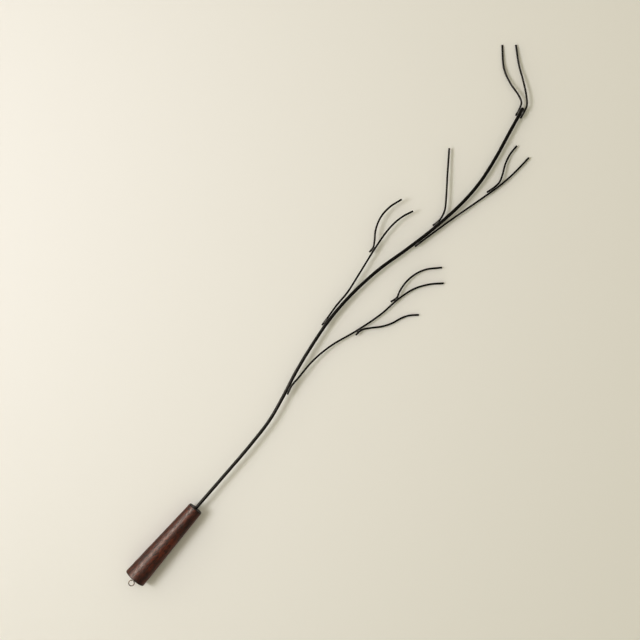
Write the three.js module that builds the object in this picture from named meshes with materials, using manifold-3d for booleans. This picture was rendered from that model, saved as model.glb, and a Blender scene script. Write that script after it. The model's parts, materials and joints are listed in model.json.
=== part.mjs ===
// A roasting fork in the shape of a leafless branch: a thick stem and ten thin round rods,
// welded side by side, on a tapered turned handle with a hanging eye in its butt.
// Millimetres. +X runs along the handle from its butt to the prongs, +Y is the left, +Z is up.
// The fork lies on a surface and rests on the rim of the butt and on the tips of two rods.
import * as THREE from 'three';
import { mergeVertices } from 'three/addons/utils/BufferGeometryUtils.js';
import Module from 'manifold-3d';

const wasm = await Module();
wasm.setup();

// Driving dimensions
const gap = 0.3; // air between neighbouring solids
const stemRadius = 2.5;
const rodRadius = 1.4;
const handle = {
  length: 143,
  buttRadius: 17.4,
  frontRadius: 11.6,
  easedEdge: 0.9,
  tangDepth: 60,
  pilotDepth: 15,
};
const eye = {
  wireRadius: 0.75,
  ringRadius: 4.25, // to the middle of the wire
  reach: 8.9, // from the butt face to the centre of the ring
  ringSide: -0.9, // from the axis to the centre of the ring
  firstAngle: 16,
  lastAngle: 325,
  neck: [[-3.4, -0.75], [-2, -0.1], [0, 0]], // the wire's bend from the ring into the shank
  shankLength: 13,
};
const sides = { handle: 36, stem: 12, rod: 8, wire: 8, bead: 10 };
const stepLength = { stem: 12, rod: 7, wire: 1.6 };
const arcSteps = 3; // in each eased edge of the handle
const ringSteps = 14;
const mergeDistance = 1e-4;
const halvings = 40; // in the search for a place along a curve

// Weld beads: half length along the rods, half width across the seam, half height
const stemBead = [5, 2.2, 2.3];
const twigBead = [4, 1.55, 1.55];

const left = 1;
const right = -1;

// The stem, from the bottom of its tang to its square-cut end
const axisHeight = handle.buttRadius;
const stemRoute = [
  [handle.length - handle.tangDepth + gap, 0, axisHeight],
  [200, 0.1, axisHeight],
  [270, 0.5, 16.9],
  [318, 3.2, 16.1],
  [356, 10.4, 15.2],
  [400, 21, 14.6],
  [447, 29.4, 14],
  [500, 35.5, 13],
  [548, 35.2, 12],
  [603, 29, 11.2],
  [657, 16.6, 10.4],
  [709, 6.2, 10],
  [766, -0.8, 9.6],
  [808, -0.8, 9.4],
  [849, 5, 9.2],
  [903, 16.7, 9],
  [939, 24.4, 9],
];

// Each rod lies beside its parent at the stations in seam, as [distance from the butt, air left
// beyond touching], and then bends away through the points in free. Its weld bead is at bead.
const rods = [
  {
    name: 'branch_a', parent: 'stem', side: right, seam: [[366, 0], [381, 0]], bead: 375,
    free: [[396, 12.6, 14], [432, 13, 11.1], [468, 7, 8.8], [510, -7.2, 7.3], [555, -19.2, 6.8],
      [590, -24, 6.5], [618, -32, 5.3], [639, -45.3, 3.6], [655.1, -61.1, 2.3]],
  },
  {
    name: 'twig_a1', parent: 'branch_a', side: right, seam: [[506.5, 1.9], [518, 0]], bead: 514,
    free: [[529, -21.4, 6.5], [541, -32.2, 5.5], [556, -41.4, 4.4], [571, -46.9, 3.3],
      [582.2, -53.5, 2.3], [592.9, -64.2, 1.45]],
  },
  {
    name: 'twig_a2', parent: 'branch_a', side: left, seam: [[578.8, 1.2], [590, 0]], bead: 588,
    free: [[600, -18, 6.7], [617, -15.8, 7], [635, -18.2, 6.7], [652.2, -25.8, 6], [671.5, -43.1, 4.2]],
  },
  {
    name: 'branch_b', parent: 'stem', side: left, seam: [[483, 0.1], [499, 0]], bead: 491,
    free: [[520, 41.5, 12.6], [546, 42.1, 12.3], [582, 47.5, 12], [617, 53.3, 11.8], [654, 57.8, 11.6],
      [673, 57.7, 11.8], [690.2, 54.6, 12], [707.2, 48, 12.4]],
  },
  {
    name: 'twig_b1', parent: 'branch_b', side: left, seam: [[616, 1], [625, 0]], bead: 622.5,
    free: [[634, 63, 11.9], [645, 71, 12.1], [658, 77, 12.5], [673, 80, 13], [690.1, 78.8, 13.4],
      [709.2, 73.1, 13.8]],
  },
  {
    name: 'branch_c', parent: 'stem', side: right, seam: [[669, 0], [688, 0], [708, 0.7]], bead: 675,
    free: [[730, -3.7, 8.4], [759, -10.9, 7.4], [795, -20.1, 6.6], [832, -28.4, 5.8], [860, -31.6, 5],
      [888.1, -32.8, 4.2]],
  },
  {
    name: 'twig_c1', parent: 'branch_c', side: left, seam: [[804, 0.1], [819, 0]], bead: 811,
    free: [[830, -23.2, 6.4], [842, -18.8, 6.3], [856, -12, 5.8], [872, -7.6, 5.1], [889.5, -6.7, 4.2]],
  },
  {
    name: 'twig_d', parent: 'stem', side: left, seam: [[710, 0.1], [724, 0]], bead: 717,
    free: [[740, 11.8, 9.8], [756, 22.6, 9.2], [783, 43.4, 8], [817.7, 69.5, 6.4]],
  },
  {
    name: 'prong_e1', parent: 'stem', side: left, seam: [[923.4, 0], [935, 0]], bead: 931,
    free: [[944, 32.1, 8.8], [950, 44, 8], [955, 63, 6.4], [966.7, 86.5, 3.8], [993, 112.8, 1.45]],
  },
  {
    name: 'prong_e2', parent: 'stem', side: right, seam: [[923.6, 0], [937, 0]], bead: 932,
    free: [[946, 22.7, 9.2], [958.4, 35.1, 8.8], [970.3, 50.4, 7.2], [986.5, 73.6, 4.8],
      [1006.8, 96.9, 2.6]],
  },
];

function finish(colour, roughness, metalness) {
  return new THREE.MeshStandardMaterial({ color: colour, roughness, metalness });
}

function blackSteel() {
  return finish(0x1c1a18, 0.5, 0.7);
}

function curveThrough(points) {
  return new THREE.CatmullRomCurve3(points.map((point) => new THREE.Vector3(...point)));
}

// A solid round rod along a curve, with square-cut ends
function rodGeometry(curve, radius, sideCount, step) {
  const corners = [];
  for (let i = 0; i < sideCount; i += 1) {
    const angle = (2 * Math.PI * (i + 0.5)) / sideCount;
    corners.push(new THREE.Vector2(radius * Math.cos(angle), radius * Math.sin(angle)));
  }
  return new THREE.ExtrudeGeometry(new THREE.Shape(corners), {
    steps: Math.ceil(curve.getLength() / step),
    bevelEnabled: false,
    extrudePath: curve,
  });
}

function solidOf(geometry) {
  const bare = geometry.clone();
  bare.deleteAttribute('normal');
  bare.deleteAttribute('uv');
  const merged = mergeVertices(bare, mergeDistance);
  const mesh = new wasm.Mesh({
    numProp: 3,
    vertProperties: merged.attributes.position.array,
    triVerts: new Uint32Array(merged.index.array),
  });
  return new wasm.Manifold(mesh);
}

function geometryOf(solid) {
  const mesh = solid.getMesh();
  const geometry = new THREE.BufferGeometry();
  geometry.setAttribute('position', new THREE.BufferAttribute(mesh.vertProperties, 3));
  geometry.setIndex(new THREE.BufferAttribute(mesh.triVerts, 1));
  geometry.computeVertexNormals();
  return geometry;
}

// Place and direction of a curve where it passes a distance from the butt. Every rod runs on
// towards +X all along its length, so there is one such place.
function atStation(curve, station) {
  let low = 0;
  let high = 1;
  for (let i = 0; i < halvings; i += 1) {
    const middle = (low + high) / 2;
    if (curve.getPoint(middle).x < station) {
      low = middle;
    } else {
      high = middle;
    }
  }
  return { point: curve.getPoint(low), direction: curve.getTangent(low) };
}

// The place at a distance to one side of a curve, level with it
function beside(curve, station, side, distance) {
  const { point, direction } = atStation(curve, station);
  const across = new THREE.Vector3(-direction.y, direction.x, 0).setLength(side * distance);
  return point.add(across).toArray();
}

function radiusOf(name) {
  return name === 'stem' ? stemRadius : rodRadius;
}

// A low lump of weld metal in the seam between a rod and its parent, hollowed to clear the parent
function beadSolid(rod, parentCurve) {
  const size = rod.parent === 'stem' ? stemBead : twigBead;
  const parentRadius = radiusOf(rod.parent);
  const { direction } = atStation(parentCurve, rod.bead);
  const lump = new THREE.SphereGeometry(1, sides.bead, sides.bead);
  lump.scale(...size);
  lump.rotateZ(Math.atan2(direction.y, direction.x));
  lump.translate(...beside(parentCurve, rod.bead, rod.side, parentRadius + gap));
  const clearance = rodGeometry(parentCurve, parentRadius + gap, sides.stem, stepLength.rod);
  return solidOf(lump).subtract(solidOf(clearance));
}

function makeHandle() {
  const { length, buttRadius, frontRadius, easedEdge } = handle;
  const tangRadius = stemRadius + gap;
  const pilotRadius = eye.wireRadius + gap;
  const profile = [[0, handle.pilotDepth], [pilotRadius, handle.pilotDepth], [pilotRadius, 0]];
  for (let i = 0; i <= arcSteps; i += 1) {
    const angle = (i / arcSteps) * (Math.PI / 2);
    profile.push([
      buttRadius - easedEdge * (1 - Math.sin(angle)),
      easedEdge * (1 - Math.cos(angle)),
    ]);
  }
  for (let i = 0; i <= arcSteps; i += 1) {
    const angle = (i / arcSteps) * (Math.PI / 2);
    profile.push([
      frontRadius - easedEdge * (1 - Math.cos(angle)),
      length - easedEdge * (1 - Math.sin(angle)),
    ]);
  }
  profile.push([tangRadius, length]);
  profile.push([tangRadius, length - handle.tangDepth]);
  profile.push([0, length - handle.tangDepth]);
  const outline = profile.map(([radius, along]) => new THREE.Vector2(radius, along));
  const mesh = new THREE.Mesh(
    new THREE.LatheGeometry(outline, sides.handle),
    finish(0x4a1f17, 0.45, 0),
  );
  mesh.name = 'handle';
  mesh.rotation.z = -Math.PI / 2;
  mesh.position.z = axisHeight;
  return mesh;
}

// One piece of wire: an almost closed ring, lying level, and a shank in the handle's pilot hole
function makeScrewEye() {
  const route = [];
  for (let i = 0; i <= ringSteps; i += 1) {
    const degrees = eye.firstAngle + ((eye.lastAngle - eye.firstAngle) * i) / ringSteps;
    const angle = THREE.MathUtils.degToRad(degrees);
    route.push([
      eye.ringRadius * Math.cos(angle) - eye.reach,
      eye.ringRadius * Math.sin(angle) + eye.ringSide,
      0,
    ]);
  }
  eye.neck.forEach(([x, y]) => route.push([x, y, 0]));
  route.push([eye.shankLength, 0, 0]);
  const mesh = new THREE.Mesh(
    rodGeometry(curveThrough(route), eye.wireRadius, sides.wire, stepLength.wire),
    finish(0x5d5148, 0.4, 0.9),
  );
  mesh.name = 'screw_eye';
  mesh.position.z = axisHeight;
  return mesh;
}

function makeStem(curve) {
  const geometry = rodGeometry(curve, stemRadius, sides.stem, stepLength.stem);
  const mesh = new THREE.Mesh(geometry, blackSteel());
  mesh.name = 'stem';
  return mesh;
}

function rodCurve(rod, parentCurve) {
  const touching = radiusOf(rod.parent) + rodRadius + gap;
  const seam = rod.seam.map(
    ([station, air]) => beside(parentCurve, station, rod.side, touching + air),
  );
  return curveThrough([...seam, ...rod.free]);
}

function makeRod(rod, curve, parentCurve) {
  const bare = solidOf(rodGeometry(curve, rodRadius, sides.rod, stepLength.rod));
  const mesh = new THREE.Mesh(geometryOf(bare.add(beadSolid(rod, parentCurve))), blackSteel());
  mesh.name = rod.name;
  return mesh;
}

const curves = { stem: curveThrough(stemRoute) };
const group = new THREE.Group();
group.add(makeHandle(), makeScrewEye(), makeStem(curves.stem));
rods.forEach((rod) => {
  curves[rod.name] = rodCurve(rod, curves[rod.parent]);
  group.add(makeRod(rod, curves[rod.name], curves[rod.parent]));
});

// The origin is at the bottom centre of the whole object's box
const box = new THREE.Box3().setFromObject(group, true);
const centre = box.getCenter(new THREE.Vector3());
group.position.set(-centre.x, -centre.y, -box.min.z);

export default group;
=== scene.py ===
import json
import math

import bmesh
import bpy
from mathutils import Euler, Matrix, Vector, geometry, noise

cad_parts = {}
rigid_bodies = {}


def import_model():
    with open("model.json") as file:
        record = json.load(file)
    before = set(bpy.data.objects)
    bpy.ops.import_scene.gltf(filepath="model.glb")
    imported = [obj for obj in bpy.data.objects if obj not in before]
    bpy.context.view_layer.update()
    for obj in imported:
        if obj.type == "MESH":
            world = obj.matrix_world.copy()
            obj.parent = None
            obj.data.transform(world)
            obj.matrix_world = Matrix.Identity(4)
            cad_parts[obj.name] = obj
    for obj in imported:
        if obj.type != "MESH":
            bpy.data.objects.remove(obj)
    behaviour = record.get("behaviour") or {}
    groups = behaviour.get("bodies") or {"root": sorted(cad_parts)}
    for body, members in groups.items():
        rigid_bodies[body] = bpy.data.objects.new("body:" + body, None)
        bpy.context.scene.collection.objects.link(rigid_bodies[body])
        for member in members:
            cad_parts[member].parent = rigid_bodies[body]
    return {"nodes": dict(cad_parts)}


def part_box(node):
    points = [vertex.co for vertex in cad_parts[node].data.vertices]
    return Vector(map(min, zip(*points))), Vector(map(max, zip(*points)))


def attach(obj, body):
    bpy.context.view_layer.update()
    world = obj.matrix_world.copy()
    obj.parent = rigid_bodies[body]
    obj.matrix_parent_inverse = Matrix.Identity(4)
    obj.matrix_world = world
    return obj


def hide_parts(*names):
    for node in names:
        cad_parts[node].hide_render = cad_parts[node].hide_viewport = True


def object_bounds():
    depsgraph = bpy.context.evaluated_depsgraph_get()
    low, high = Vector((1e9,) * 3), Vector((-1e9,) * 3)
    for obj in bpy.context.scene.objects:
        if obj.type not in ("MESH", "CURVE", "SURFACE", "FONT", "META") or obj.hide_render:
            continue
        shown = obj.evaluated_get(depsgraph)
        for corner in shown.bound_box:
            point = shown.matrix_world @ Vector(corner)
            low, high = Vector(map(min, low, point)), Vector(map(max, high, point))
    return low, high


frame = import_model()
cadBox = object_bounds()
mm = 0.001
left = 1
right = -1
print("frame loaded:", len(frame["nodes"]), "nodes")

# The handle gives the butt and the turning axis, and the whole box gives the floor
handleLow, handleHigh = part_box("handle")
buttX = handleLow.x
axisY = (handleLow.y + handleHigh.y) / 2
axisZ = (handleLow.z + handleHigh.z) / 2
floorZ = cadBox[0].z


def fromButt(x, y, z):  # millimetres from the butt, from the axis and above the floor
    return Vector((buttX + x * mm, axisY + y * mm, floorZ + z * mm))


# Camera: looks straight down, turned so that the handle lies at the lower left
camera = {
    "aim": (486.5, 46, 0),  # the point on the floor that it looks at, as for fromButt
    "height": 2080 * mm,
    "turn": -48.96,
    "fieldWidth": 992 * mm,  # of floor, from edge to edge of the view
    "sensor": 36,
}
aim = fromButt(*camera["aim"])
cameraTurn = Euler((0, 0, math.radians(camera["turn"])))
viewRight = cameraTurn.to_matrix() @ Vector((1, 0, 0))
viewUp = cameraTurn.to_matrix() @ Vector((0, 1, 0))

cameraData = bpy.data.cameras.new("camera")
cameraData.sensor_width = camera["sensor"]
cameraData.lens = camera["sensor"] * camera["height"] / camera["fieldWidth"]
cameraObject = bpy.data.objects.new("camera", cameraData)
cameraObject.location = aim + Vector((0, 0, camera["height"]))
cameraObject.rotation_euler = cameraTurn
bpy.context.scene.collection.objects.link(cameraObject)
bpy.context.scene.camera = cameraObject
print("camera placed")


# Node helpers
def newMaterial(name, shaderValues):
    material = bpy.data.materials.new(name)
    material.use_nodes = True
    shader = material.node_tree.nodes["Principled BSDF"]
    for label, value in shaderValues.items():
        shader.inputs[label].default_value = value
    return material, material.node_tree, shader


def addNode(tree, kind, **inputs):
    node = tree.nodes.new(kind)
    for label, value in inputs.items():
        node.inputs[label.replace("_", " ")].default_value = value
    return node


# Coordinates measured from a centre and drawn out: a pattern read on them is that much longer
def drawnOut(tree, source, stretch, centre=(0, 0, 0)):
    mapping = tree.nodes.new("ShaderNodeMapping")
    mapping.vector_type = "TEXTURE"
    mapping.inputs["Location"].default_value = centre
    mapping.inputs["Scale"].default_value = stretch
    tree.links.new(source, mapping.inputs["Vector"])
    return mapping.outputs["Vector"]


def noiseOn(tree, place, size, detail, roughness=0.5, distortion=0):
    texture = addNode(tree, "ShaderNodeTexNoise", Scale=1 / size, Detail=detail)
    texture.inputs["Roughness"].default_value = roughness
    texture.inputs["Distortion"].default_value = distortion
    tree.links.new(place, texture.inputs["Vector"])
    return texture.outputs["Fac"]


def ramp(tree, factor, stops):
    node = tree.nodes.new("ShaderNodeValToRGB")
    elements = node.color_ramp.elements
    for i, (position, shade) in enumerate(stops):
        element = elements[i] if i < 2 else elements.new(position)
        element.position = position
        element.color = (*shade, 1)
    tree.links.new(factor, node.inputs["Fac"])
    return node.outputs["Color"]


def ranged(tree, value, fromLow, fromHigh, low, high):
    node = addNode(tree, "ShaderNodeMapRange", From_Min=fromLow, From_Max=fromHigh, To_Min=low, To_Max=high)
    tree.links.new(value, node.inputs["Value"])
    return node.outputs["Result"]


def mixed(tree, factor, first, second):
    node = tree.nodes.new("ShaderNodeMix")
    node.data_type = "RGBA"
    sockets = [socket for socket in node.inputs if socket.enabled]
    for socket, value in zip(sockets, (factor, first, second)):
        if isinstance(value, bpy.types.NodeSocket):
            tree.links.new(value, socket)
        else:
            socket.default_value = value
    return next(socket for socket in node.outputs if socket.enabled)


def plusTimes(tree, base, value, weight):  # base + value * weight
    node = tree.nodes.new("ShaderNodeMath")
    node.operation = "MULTIPLY_ADD"
    tree.links.new(value, node.inputs[0])
    node.inputs[1].default_value = weight
    tree.links.new(base, node.inputs[2])
    return node.outputs["Value"]


def raised(tree, height, distance):
    node = addNode(tree, "ShaderNodeBump", Distance=distance)
    tree.links.new(height, node.inputs["Height"])
    return node.outputs["Normal"]


# Turned hardwood under red-brown stain and satin lacquer, its grain running along the handle,
# and darker at both ends: over the end faces, and fading out along the last 2.2 mm of the sides
stainedWood = {
    "grainSize": 1.5 * mm,  # each size is across the grain, and its stretch is along it
    "grainStretch": 8,
    "poreSize": 1.2 * mm,
    "poreStretch": 4,
    "poreEdge": (0.54, 0.63),
    "figureSize": 7 * mm,
    "figureStretch": 2.4,
    "fleckSize": 2.4 * mm,
    "fleckStretch": 2.5,
    "grooveSize": 0.35 * mm,
    "grooveStretch": 40,
    "ringWidth": 4.2 * mm,
    "ringStretch": 9,
    "pith": (0.3, 14 * mm, -21 * mm),  # the centre of the growth rings, from the middle of the butt
    "shades": [
        (0.30, (0.018, 0.0060, 0.0042)),
        (0.47, (0.052, 0.0125, 0.0070)),
        (0.66, (0.140, 0.029, 0.011)),
    ],
    "poreShade": (0.008, 0.0035, 0.0028, 1),
    "endShade": (0.008, 0.0040, 0.0030, 1),
    "endDepth": (0.5 * mm, 2.2 * mm),  # from the ends: fully dark to here, and fading to there
    "endCover": 0.9,
    "roughness": (0.40, 0.50),
    "relief": 0.22 * mm,
    "shader": {"Specular IOR Level": 0.35, "Specular Tint": (1, 0.90, 0.83, 1)},
}


def makeStainedWood(look):
    material, tree, shader = newMaterial("stained_wood", look["shader"])
    place = tree.nodes.new("ShaderNodeTexCoord").outputs["Object"]
    centre = (buttX, axisY, axisZ)

    def grained(pattern):
        return drawnOut(tree, place, (look[pattern + "Stretch"], 1, 1), centre)

    grain = noiseOn(tree, grained("grain"), look["grainSize"], 6, 0.62, 0.3)
    pores = noiseOn(tree, grained("pore"), look["poreSize"], 2, 0.5)
    poreMask = ranged(tree, pores, *look["poreEdge"], 0, 1)
    figure = noiseOn(tree, grained("figure"), look["figureSize"], 4, 0.6, 0.8)
    flecks = noiseOn(tree, grained("fleck"), look["fleckSize"], 3, 0.6, 0.4)
    grooves = noiseOn(tree, grained("groove"), look["grooveSize"], 2)

    rings = addNode(tree, "ShaderNodeTexWave", Distortion=5, Detail=3, Detail_Scale=1.4)
    rings.wave_type = "RINGS"
    rings.rings_direction = "X"
    rings.inputs["Scale"].default_value = math.pi / (10 * look["ringWidth"])
    pithPlace = (buttX + look["pith"][0], axisY + look["pith"][1], axisZ + look["pith"][2])
    aroundPith = drawnOut(tree, place, (look["ringStretch"], 1, 1), pithPlace)
    tree.links.new(aroundPith, rings.inputs["Vector"])

    shade = plusTimes(tree, ranged(tree, grain, 0, 1, -0.1, 0.65), rings.outputs["Fac"], 0.16)
    shade = plusTimes(tree, shade, figure, 0.34)
    colour = ramp(tree, shade, look["shades"])
    colour = mixed(tree, poreMask, colour, look["poreShade"])

    ends = tree.nodes.new("ShaderNodeSeparateXYZ")
    middle = ((handleLow.x + handleHigh.x) / 2, axisY, axisZ)
    tree.links.new(drawnOut(tree, place, (1, 1, 1), middle), ends.inputs["Vector"])
    fromMiddle = tree.nodes.new("ShaderNodeMath")
    fromMiddle.operation = "ABSOLUTE"
    tree.links.new(ends.outputs["X"], fromMiddle.inputs[0])
    halfLength = (handleHigh.x - handleLow.x) / 2
    dark, fading = look["endDepth"]
    cover = look["endCover"]
    endMask = ranged(tree, fromMiddle.outputs["Value"], halfLength - fading, halfLength - dark, 0, cover)
    colour = mixed(tree, endMask, colour, look["endShade"])
    tree.links.new(colour, shader.inputs["Base Color"])

    tree.links.new(ranged(tree, figure, 0.3, 0.7, *look["roughness"]), shader.inputs["Roughness"])
    height = plusTimes(tree, ranged(tree, grain, 0, 1, 0, 0.35), poreMask, -0.5)
    height = plusTimes(tree, height, flecks, 0.9)
    height = plusTimes(tree, height, grooves, 0.5)
    tree.links.new(raised(tree, height, look["relief"]), shader.inputs["Normal"])
    return material


# Blackened steel rod: drawn marks along it, mill scale in patches, fine pits
blackSteel = {
    "scaleSize": 2.6 * mm,
    "pitSize": 0.55 * mm,
    "markSize": 0.35 * mm,
    "markStretch": 25,
    "shades": [(0.35, (0.0012, 0.0010, 0.0008)), (0.65, (0.0045, 0.0038, 0.0030))],
    "roughness": (0.26, 0.38),
    "relief": 0.05 * mm,
    "shader": {"Specular IOR Level": 0.13, "Specular Tint": (1, 0.92, 0.84, 1)},
}


# Coordinates along and across a drawn rod, as if it were straight
def alongRod(tree):
    attribute = tree.nodes.new("ShaderNodeAttribute")
    attribute.attribute_name = "straight"
    return attribute.outputs["Vector"]


def makeBlackSteel(look):
    material, tree, shader = newMaterial("black_steel", look["shader"])
    place = alongRod(tree)
    scale = noiseOn(tree, place, look["scaleSize"], 5, 0.65, 0.5)
    pits = noiseOn(tree, place, look["pitSize"], 3, 0.6)
    marks = noiseOn(tree, drawnOut(tree, place, (look["markStretch"], 1, 1)), look["markSize"], 2, 0.5)
    tree.links.new(ramp(tree, scale, look["shades"]), shader.inputs["Base Color"])
    worn = plusTimes(tree, ranged(tree, scale, 0.3, 0.7, *look["roughness"]), marks, 0.12)
    tree.links.new(worn, shader.inputs["Roughness"])
    height = plusTimes(tree, ranged(tree, scale, 0, 1, 0, 1), pits, 0.5)
    height = plusTimes(tree, height, marks, 0.25)
    tree.links.new(raised(tree, height, look["relief"]), shader.inputs["Normal"])
    return material


# Weld metal: rougher and a little greyer than the rods
weldMetal = {
    "grainSize": 0.8 * mm,
    "shades": [
        (0.36, (0.012, 0.011, 0.010)),
        (0.50, (0.055, 0.052, 0.047)),
        (0.64, (0.17, 0.165, 0.155)),
    ],
    "roughness": (0.42, 0.62),
    "relief": 0.12 * mm,
    "shader": {"Metallic": 0.35, "Specular IOR Level": 0.4},
}


def makeWeldMetal(look):
    material, tree, shader = newMaterial("weld_metal", look["shader"])
    place = tree.nodes.new("ShaderNodeTexCoord").outputs["Object"]
    grain = noiseOn(tree, place, look["grainSize"], 4, 0.6)
    patches = noiseOn(tree, place, 3 * look["grainSize"], 2, 0.5)
    both = plusTimes(tree, ranged(tree, grain, 0, 1, -0.02, 0.5), patches, 0.5)
    tree.links.new(ramp(tree, both, look["shades"]), shader.inputs["Base Color"])
    tree.links.new(ranged(tree, patches, 0.3, 0.7, *look["roughness"]), shader.inputs["Roughness"])
    tree.links.new(raised(tree, grain, look["relief"]), shader.inputs["Normal"])
    return material


# Drawn wire with a dull bronze-grey tarnish
eyeWire = {
    "tarnishSize": 1.3 * mm,
    "markSize": 0.15 * mm,
    "markStretch": 20,
    "shades": [(0.38, (0.042, 0.031, 0.022)), (0.62, (0.168, 0.133, 0.101))],
    "roughness": (0.5, 0.3),
    "relief": 0.02 * mm,
    "shader": {"Metallic": 0.85},
}


def makeEyeWire(look):
    material, tree, shader = newMaterial("eye_wire", look["shader"])
    place = alongRod(tree)
    tarnish = noiseOn(tree, place, look["tarnishSize"], 4, 0.6)
    marks = noiseOn(tree, drawnOut(tree, place, (look["markStretch"], 1, 1)), look["markSize"], 2)
    tree.links.new(ramp(tree, tarnish, look["shades"]), shader.inputs["Base Color"])
    tree.links.new(ranged(tree, tarnish, 0.3, 0.7, *look["roughness"]), shader.inputs["Roughness"])
    tree.links.new(raised(tree, marks, look["relief"]), shader.inputs["Normal"])
    return material


woodMaterial = makeStainedWood(stainedWood)
steelMaterial = makeBlackSteel(blackSteel)
weldMaterial = makeWeldMetal(weldMetal)
wireMaterial = makeEyeWire(eyeWire)
print("materials made")


# Every finished piece: a smooth-shaded mesh at the origin that rides on the one body
def finishPiece(name, bm, material, slot, *nodes):
    mesh = bpy.data.meshes.new(name)
    bmesh.ops.recalc_face_normals(bm, faces=bm.faces)
    for face in bm.faces:
        face.smooth = len(face.verts) <= 4  # only the flat ends have more
    bm.to_mesh(mesh)
    bm.free()
    mesh.materials.append(material)
    piece = bpy.data.objects.new(name, mesh)
    bpy.context.scene.collection.objects.link(piece)
    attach(piece, "root")
    if nodes:
        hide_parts(*nodes)


# A smooth curve through points as closely spaced dots: each span leaves and arrives in the
# direction of its neighbours, weighted by the square roots of their distances
def curveThrough(points, dots=60):
    padded = [2 * points[0] - points[1], *points, 2 * points[-1] - points[-2]]
    line = [points[0]]
    for before, start, stop, after in zip(padded, padded[1:], padded[2:], padded[3:]):
        gapA = math.sqrt((start - before).length)
        gapB = math.sqrt((stop - start).length)
        gapC = math.sqrt((after - stop).length)
        along = (stop - start) / gapB
        leave = (start - before) / gapA - (stop - before) / (gapA + gapB) + along
        arrive = along - (after - start) / (gapB + gapC) + (after - stop) / gapC
        reach = gapB / 3
        startPull = start + leave * reach
        stopPull = stop - arrive * reach
        line += geometry.interpolate_bezier(start, startPull, stopPull, stop, dots)[1:]
    return line


def evenSteps(line, step):  # the same curve, cut into equal lengths
    travelled = [0]
    for start, stop in zip(line, line[1:]):
        travelled.append(travelled[-1] + (stop - start).length)
    count = math.ceil(travelled[-1] / step)
    places = []
    i = 0
    for k in range(count + 1):
        wanted = min(travelled[-1] * k / count, travelled[-1])
        while i < len(line) - 2 and travelled[i + 1] < wanted:
            i += 1
        share = (wanted - travelled[i]) / (travelled[i + 1] - travelled[i])
        places.append(line[i].lerp(line[i + 1], share))
    return places


# Every rod runs on towards +X, so one place on it is a given distance from the butt
def atStation(line, station):
    x = buttX + station * mm
    for start, stop in zip(line, line[1:]):
        if stop.x >= x:
            return start.lerp(stop, (x - start.x) / (stop.x - start.x)), (stop - start).normalized()
    return line[-1], (line[-1] - line[-2]).normalized()


# A place level with that station, out to one side of the line
def beside(line, station, side, distance):
    place, heading = atStation(line, station)
    across = Vector((-heading.y, heading.x, 0)).normalized()
    return place + across * side * distance


# A ring drawn along a curve: each step extrudes it and carries it to the next place and heading
def drawRod(line, radius, sides, step, rim):
    places = evenSteps(line, step)
    bm = bmesh.new()
    straight = bm.verts.layers.float_vector.new("straight")
    ring = bmesh.ops.create_circle(bm, radius=radius, segments=sides)["verts"]
    for vert in ring:
        vert[straight] = (0, vert.co.x, vert.co.y)
    edges = list(bm.edges)
    heading = Vector((0, 0, 1))
    turn = Matrix.Identity(4)
    current = Matrix.Identity(4)
    travelled = 0
    for i, place in enumerate(places):
        ahead = (places[min(i + 1, len(places) - 1)] - places[max(i - 1, 0)]).normalized()
        turn = heading.rotation_difference(ahead).to_matrix().to_4x4() @ turn
        heading = ahead
        if i > 0:
            grown = bmesh.ops.extrude_edge_only(bm, edges=edges)["geom"]
            ring = [item for item in grown if isinstance(item, bmesh.types.BMVert)]
            newRing = set(ring)
            grownEdges = [item for item in grown if isinstance(item, bmesh.types.BMEdge)]
            edges = [edge for edge in grownEdges if newRing.issuperset(edge.verts)]
            travelled += (place - places[i - 1]).length
        target = Matrix.Translation(place) @ turn
        bmesh.ops.transform(bm, matrix=target @ current.inverted(), verts=ring)
        current = target
        for vert in ring:
            vert[straight] = (travelled, vert[straight].y, vert[straight].z)
    openEdges = [edge for edge in bm.edges if edge.is_boundary]
    bmesh.ops.holes_fill(bm, edges=openEdges)
    bmesh.ops.bevel(bm, geom=openEdges, offset=rim, offset_type="OFFSET", segments=3, profile=0.5,
                    affect="EDGES", material=-1)
    return bm


# The stem, from the bottom of its tang in the handle to its square-cut end
stem = {
    "radius": 2.5 * mm,
    "sides": 40,
    "step": 2.5 * mm,
    "rim": 0.3 * mm,
    "route": [(83.3, 0, 17.4), (200, 0.1, 17.4), (270, 0.5, 16.9), (318, 3.2, 16.1), (356, 10.4, 15.2),
              (400, 21, 14.6), (447, 29.4, 14), (500, 35.5, 13), (548, 35.2, 12), (603, 29, 11.2),
              (657, 16.6, 10.4), (709, 6.2, 10), (766, -0.8, 9.6), (808, -0.8, 9.4), (849, 5, 9.2),
              (903, 16.7, 9), (939, 24.4, 9)],
}
lines = {"stem": curveThrough([fromButt(*point) for point in stem["route"]])}
stemMesh = drawRod(lines["stem"], stem["radius"], stem["sides"], stem["step"], stem["rim"])
finishPiece("stem_rod", stemMesh, steelMaterial, "black_steel", "stem")
print("stem drawn")


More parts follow.
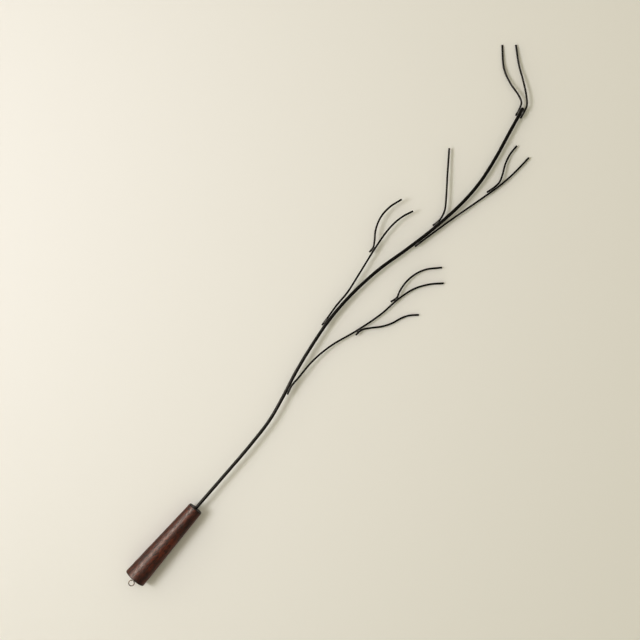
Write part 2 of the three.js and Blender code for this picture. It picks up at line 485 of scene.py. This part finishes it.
# The thin rods. Each lies beside its parent at the stations in seam, given as distance from the
# butt and the air left beyond touching, and then bends away through the points in free.
twigs = {
    "radius": 1.4 * mm,
    "sides": 28,
    "step": 1.6 * mm,
    "rim": 0.25 * mm,
    "air": 0.3 * mm,  # between a rod and its parent where they touch
}
rods = {
    "branch_a": {
        "parent": "stem", "side": right, "seam": [(366, 0), (381, 0)], "weld": 375,
        "free": [(396, 12.6, 14), (432, 13, 11.1), (468, 7, 8.8), (510, -7.2, 7.3), (555, -19.2, 6.8),
                 (590, -24, 6.5), (618, -32, 5.3), (639, -45.3, 3.6), (655.1, -61.1, 2.3)],
    },
    "twig_a1": {
        "parent": "branch_a", "side": right, "seam": [(506.5, 1.9), (518, 0)], "weld": 514,
        "free": [(529, -21.4, 6.5), (541, -32.2, 5.5), (556, -41.4, 4.4), (571, -46.9, 3.3),
                 (582.2, -53.5, 2.3), (592.9, -64.2, 1.45)],
    },
    "twig_a2": {
        "parent": "branch_a", "side": left, "seam": [(578.8, 1.2), (590, 0)], "weld": 588,
        "free": [(600, -18, 6.7), (617, -15.8, 7), (635, -18.2, 6.7), (652.2, -25.8, 6),
                 (671.5, -43.1, 4.2)],
    },
    "branch_b": {
        "parent": "stem", "side": left, "seam": [(483, 0.1), (499, 0)], "weld": 491,
        "free": [(520, 41.5, 12.6), (546, 42.1, 12.3), (582, 47.5, 12), (617, 53.3, 11.8),
                 (654, 57.8, 11.6), (673, 57.7, 11.8), (690.2, 54.6, 12), (707.2, 48, 12.4)],
    },
    "twig_b1": {
        "parent": "branch_b", "side": left, "seam": [(616, 1), (625, 0)], "weld": 622.5,
        "free": [(634, 63, 11.9), (645, 71, 12.1), (658, 77, 12.5), (673, 80, 13),
                 (690.1, 78.8, 13.4), (709.2, 73.1, 13.8)],
    },
    "branch_c": {
        "parent": "stem", "side": right, "seam": [(669, 0), (688, 0), (708, 0.7)], "weld": 675,
        "free": [(730, -3.7, 8.4), (759, -10.9, 7.4), (795, -20.1, 6.6), (832, -28.4, 5.8),
                 (860, -31.6, 5), (888.1, -32.8, 4.2)],
    },
    "twig_c1": {
        "parent": "branch_c", "side": left, "seam": [(804, 0.1), (819, 0)], "weld": 811,
        "free": [(830, -23.2, 6.4), (842, -18.8, 6.3), (856, -12, 5.8), (872, -7.6, 5.1),
                 (889.5, -6.7, 4.2)],
    },
    "twig_d": {
        "parent": "stem", "side": left, "seam": [(710, 0.1), (724, 0)], "weld": 717,
        "free": [(740, 11.8, 9.8), (756, 22.6, 9.2), (783, 43.4, 8), (817.7, 69.5, 6.4)],
    },
    "prong_e1": {
        "parent": "stem", "side": left, "seam": [(923.4, 0), (935, 0)], "weld": 931,
        "free": [(944, 32.1, 8.8), (950, 44, 8), (955, 63, 6.4), (966.7, 86.5, 3.8), (993, 112.8, 1.45)],
    },
    "prong_e2": {
        "parent": "stem", "side": right, "seam": [(923.6, 0), (937, 0)], "weld": 932,
        "free": [(946, 22.7, 9.2), (958.4, 35.1, 8.8), (970.3, 50.4, 7.2), (986.5, 73.6, 4.8),
                 (1006.8, 96.9, 2.6)],
    },
}


def radiusOf(name):
    return stem["radius"] if name == "stem" else twigs["radius"]


for name, rod in rods.items():
    parentLine = lines[rod["parent"]]
    touching = radiusOf(rod["parent"]) + twigs["radius"] + twigs["air"]
    seam = [beside(parentLine, station, rod["side"], touching + air * mm) for station, air in rod["seam"]]
    lines[name] = curveThrough(seam + [fromButt(*point) for point in rod["free"]])
    rodMesh = drawRod(lines[name], twigs["radius"], twigs["sides"], twigs["step"], twigs["rim"])
    finishPiece(name + "_rod", rodMesh, steelMaterial, "black_steel", name)
print("rods drawn:", len(rods))


# Weld beads: low lumps in the seams, laid in overlapping ripples
weld = {
    "onStem": (5.4 * mm, 2.2 * mm, 2.35 * mm),  # half length, half width and half height
    "onTwig": (4.2 * mm, 1.6 * mm, 1.6 * mm),
    "ripplePitch": 1.25 * mm,
    "rippleDepth": 0.09,
    "rippleBow": 0.5,  # how far the ripples lag at the sides of the bead
    "lumpSize": 1.6 * mm,
    "lumpDepth": 0.16,
}


def layBead(size, centre, heading):
    bm = bmesh.new()
    bmesh.ops.create_uvsphere(bm, u_segments=40, v_segments=56, radius=1)
    bmesh.ops.rotate(bm, verts=bm.verts, matrix=Matrix.Rotation(math.pi / 2, 3, "Y"))
    for vert in bm.verts:
        along = vert.co.x * size[0] / weld["ripplePitch"]
        phase = 2 * math.pi * (along + weld["rippleBow"] * vert.co.y ** 2)
        lump = noise.noise((centre + Vector(vert.co) * size[0]) / weld["lumpSize"])
        swell = 1 + weld["rippleDepth"] * math.sin(phase) + weld["lumpDepth"] * lump
        vert.co.y *= swell
        vert.co.z *= swell
    bmesh.ops.scale(bm, vec=size, verts=bm.verts)
    turn = Vector((1, 0, 0)).rotation_difference(heading).to_matrix().to_4x4()
    bmesh.ops.transform(bm, matrix=Matrix.Translation(centre) @ turn, verts=bm.verts)
    return bm


for name, rod in rods.items():
    parentLine = lines[rod["parent"]]
    size = weld["onStem"] if rod["parent"] == "stem" else weld["onTwig"]
    centre = beside(parentLine, rod["weld"], rod["side"], radiusOf(rod["parent"]) + twigs["air"])
    heading = atStation(parentLine, rod["weld"])[1]
    finishPiece("weld_" + name, layBead(size, centre, heading), weldMaterial, "black_steel")
print("weld beads laid:", len(rods))


# The turned handle: one outline spun about its axis, then its edges eased
handle = {
    "length": handleHigh.x - handleLow.x,
    "buttRadius": (handleHigh.y - handleLow.y) / 2,
    "frontRadius": 11.6 * mm,
    "boreRadius": stem["radius"] + 0.05 * mm,
    "boreDepth": 60 * mm,
    "pilotRadius": 0.82 * mm,
    "pilotDepth": 15 * mm,
    "easedRim": 0.9 * mm,
    "rimSegments": 5,
    "easedBore": 0.3 * mm,
    "boreSegments": 3,
    "lengthCuts": 35,
    "spinSteps": 96,
}


def turnHandle():
    bm = bmesh.new()
    outline = [
        (handle["pilotDepth"], 0),
        (handle["pilotDepth"], handle["pilotRadius"]),
        (0, handle["pilotRadius"]),
        (0, handle["buttRadius"]),
        (handle["length"], handle["frontRadius"]),
        (handle["length"], handle["boreRadius"]),
        (handle["length"] - handle["boreDepth"], handle["boreRadius"]),
        (handle["length"] - handle["boreDepth"], 0),
    ]
    corners = [bm.verts.new((buttX + x, axisY, axisZ + radius)) for x, radius in outline]
    edges = [bm.edges.new(pair) for pair in zip(corners, corners[1:])]
    taper = edges[3]  # from the butt's rim to the front rim
    bmesh.ops.subdivide_edges(bm, edges=[taper], cuts=handle["lengthCuts"])
    bmesh.ops.spin(bm, geom=list(bm.verts) + list(bm.edges), cent=(buttX, axisY, axisZ), axis=(1, 0, 0),
                   angle=2 * math.pi, steps=handle["spinSteps"], use_merge=True)
    bmesh.ops.remove_doubles(bm, verts=bm.verts, dist=0.001 * mm)
    bmesh.ops.recalc_face_normals(bm, faces=bm.faces)
    easeRim(bm, 0, handle["buttRadius"], handle["easedRim"], handle["rimSegments"])
    easeRim(bm, handle["length"], handle["frontRadius"], handle["easedRim"], handle["rimSegments"])
    easeRim(bm, handle["length"], handle["boreRadius"], handle["easedBore"], handle["boreSegments"])
    easeRim(bm, 0, handle["pilotRadius"], handle["easedBore"], handle["boreSegments"])
    return bm


# Bevels the circle of edges at a distance from the butt and a radius from the axis
def easeRim(bm, x, radius, offset, segments):
    def onRim(vert):
        across = math.hypot(vert.co.y - axisY, vert.co.z - axisZ)
        return abs(vert.co.x - buttX - x) < 0.01 * mm and abs(across - radius) < 0.01 * mm

    rim = [edge for edge in bm.edges if onRim(edge.verts[0]) and onRim(edge.verts[1])]
    bmesh.ops.bevel(bm, geom=rim, offset=offset, offset_type="OFFSET", segments=segments, profile=0.5,
                    affect="EDGES", material=-1)


finishPiece("turned_handle", turnHandle(), woodMaterial, "stained_wood", "handle")
print("handle turned")


# The screw eye: one piece of wire, a nearly closed ring lying level and a shank in the pilot hole
eye = {
    "wireRadius": 0.75 * mm,
    "ringRadius": 4.25,  # to the middle of the wire; this and the next lengths in millimetres
    "reach": 8.8,  # from the butt to the centre of the ring
    "ringSide": -0.9,  # from the axis to the centre of the ring
    "firstAngle": 16,
    "lastAngle": 325,
    "ringPoints": 15,
    "neck": [(-3.4, -0.75), (-2, -0.1), (0, 0)],
    "shankLength": 13,
    "sides": 24,
    "step": 0.35 * mm,
    "rim": 0.2 * mm,
}


def bendEye():
    route = []
    for i in range(eye["ringPoints"]):
        share = i / (eye["ringPoints"] - 1)
        angle = math.radians(eye["firstAngle"] + (eye["lastAngle"] - eye["firstAngle"]) * share)
        x = eye["ringRadius"] * math.cos(angle) - eye["reach"]
        route.append((x, eye["ringRadius"] * math.sin(angle) + eye["ringSide"]))
    route += eye["neck"]
    route.append((eye["shankLength"], 0))
    points = [Vector((buttX + x * mm, axisY + y * mm, axisZ)) for x, y in route]
    return drawRod(curveThrough(points), eye["wireRadius"], eye["sides"], eye["step"], eye["rim"])


finishPiece("hanging_eye", bendEye(), wireMaterial, "eye_wire", "screw_eye")
print("eye bent")


# Pale floor
floor = {
    "halfWidth": 12,
    "shade": (0.82, 0.808, 0.78, 1),
    "shader": {"Roughness": 0.85, "Specular IOR Level": 0},
}


def layFloor():
    bm = bmesh.new()
    bmesh.ops.create_grid(bm, x_segments=1, y_segments=1, size=floor["halfWidth"])
    bmesh.ops.translate(bm, vec=(aim.x, aim.y, floorZ), verts=bm.verts)
    mesh = bpy.data.meshes.new("floor")
    bm.to_mesh(mesh)
    bm.free()
    material, tree, shader = newMaterial("pale_floor", floor["shader"])
    shader.inputs["Base Color"].default_value = floor["shade"]
    mesh.materials.append(material)
    piece = bpy.data.objects.new("floor", mesh)
    bpy.context.scene.collection.objects.link(piece)


layFloor()


# Lights, placed by how far they are to the view's right, up it, and above the floor, and turned to
# a point lookUp above the middle of the view. The key throws the shadows, and the sheen only shows
# as the highlights on lacquer and steel.
lights = {
    "key": {
        "right": -1.40, "up": -0.04, "height": 1.8, "size": 0.85, "power": 24, "shade": (0.945, 0.94, 1),
        "lookUp": 0.9, "onMatt": True, "onGloss": False,
    },
    "glow": {
        "right": -0.70, "up": 0.35, "height": 0.9, "size": 0.6, "power": 0.7, "shade": (0.75, 0.66, 1),
        "lookUp": 0, "onMatt": True, "onGloss": False,
    },
    "sheen": {
        "right": -1.61, "up": 0.34, "height": 1.8, "size": 1.15, "power": 150, "shade": (1, 0.96, 0.93),
        "lookUp": 0, "onMatt": False, "onGloss": True,
    },
}


def hangLight(name, light):
    data = bpy.data.lights.new(name, "AREA")
    data.shape = "DISK"
    data.size = light["size"]
    data.energy = light["power"]
    data.color = light["shade"]
    lamp = bpy.data.objects.new(name, data)
    lamp.location = aim + viewRight * light["right"] + viewUp * light["up"]
    lamp.location.z += light["height"]
    target = aim + viewUp * light["lookUp"]
    lamp.rotation_euler = (target - lamp.location).to_track_quat("-Z", "Y").to_euler()
    lamp.visible_diffuse = light["onMatt"]
    lamp.visible_glossy = light["onGloss"]
    bpy.context.scene.collection.objects.link(lamp)


for name, light in lights.items():
    hangLight(name, light)
print("lights hung:", len(lights))


# A soft sky, brighter on the key's side, and the tone of the whole render
sky = {
    "shade": (1, 0.955, 0.765, 1),
    "keySide": 1.03,
    "farSide": 0.29,
    "gamma": 0.82,
}
world = bpy.data.worlds.new("soft_sky")
world.use_nodes = True
skyTree = world.node_tree
skyLight = skyTree.nodes["Background"]
skyLight.inputs["Color"].default_value = sky["shade"]
facing = skyTree.nodes.new("ShaderNodeVectorMath")
facing.operation = "DOT_PRODUCT"
facing.inputs[1].default_value = -viewRight
skyTree.links.new(skyTree.nodes.new("ShaderNodeTexCoord").outputs["Generated"], facing.inputs[0])
skyStrength = ranged(skyTree, facing.outputs["Value"], -1, 1, sky["farSide"], sky["keySide"])
skyTree.links.new(skyStrength, skyLight.inputs["Strength"])
bpy.context.scene.world = world
bpy.context.scene.view_settings.view_transform = "Standard"
bpy.context.scene.view_settings.gamma = sky["gamma"]
print("sky set")
